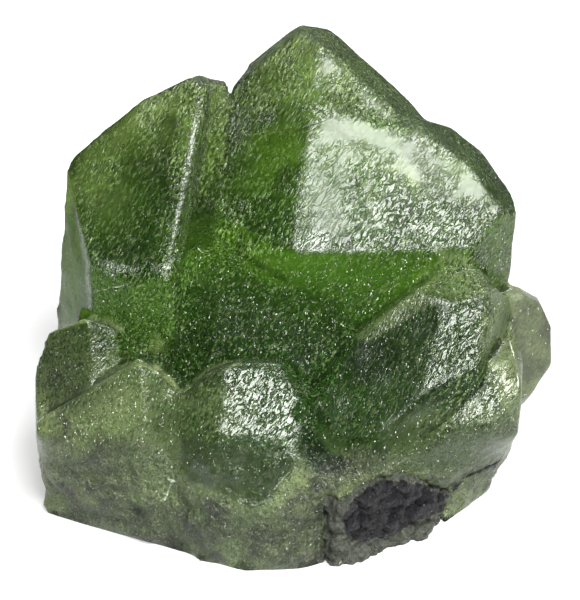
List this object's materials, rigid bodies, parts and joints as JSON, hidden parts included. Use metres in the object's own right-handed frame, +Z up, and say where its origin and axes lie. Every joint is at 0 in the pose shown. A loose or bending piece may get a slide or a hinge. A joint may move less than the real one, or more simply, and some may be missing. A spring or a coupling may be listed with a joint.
{
  "type": "peridot crystal",
  "caption": "Loose cluster of intergrown green olivine crystals with slanting end faces, cut flat underneath, with a lump of black matrix in its lower right front.",
  "frame": {"origin": "middle of the cluster's bounding box, at the height of the flat foot it rests on", "axes": "+X to the viewer's right, +Y to the back, +Z up out of the foot; the slanting end faces look to -Y and up"},
  "size_m": [0.044, 0.0364, 0.0347],
  "materials": {
    "peridot": "etched, translucent olive green, glossy on the end faces and frosted towards the foot",
    "matrix": "rough, granular, dull black with small pale grains"
  },
  "bodies": {
    "root": {"peridot_cluster": "peridot", "dark_matrix": "matrix"}
  },
  "joints": []
}
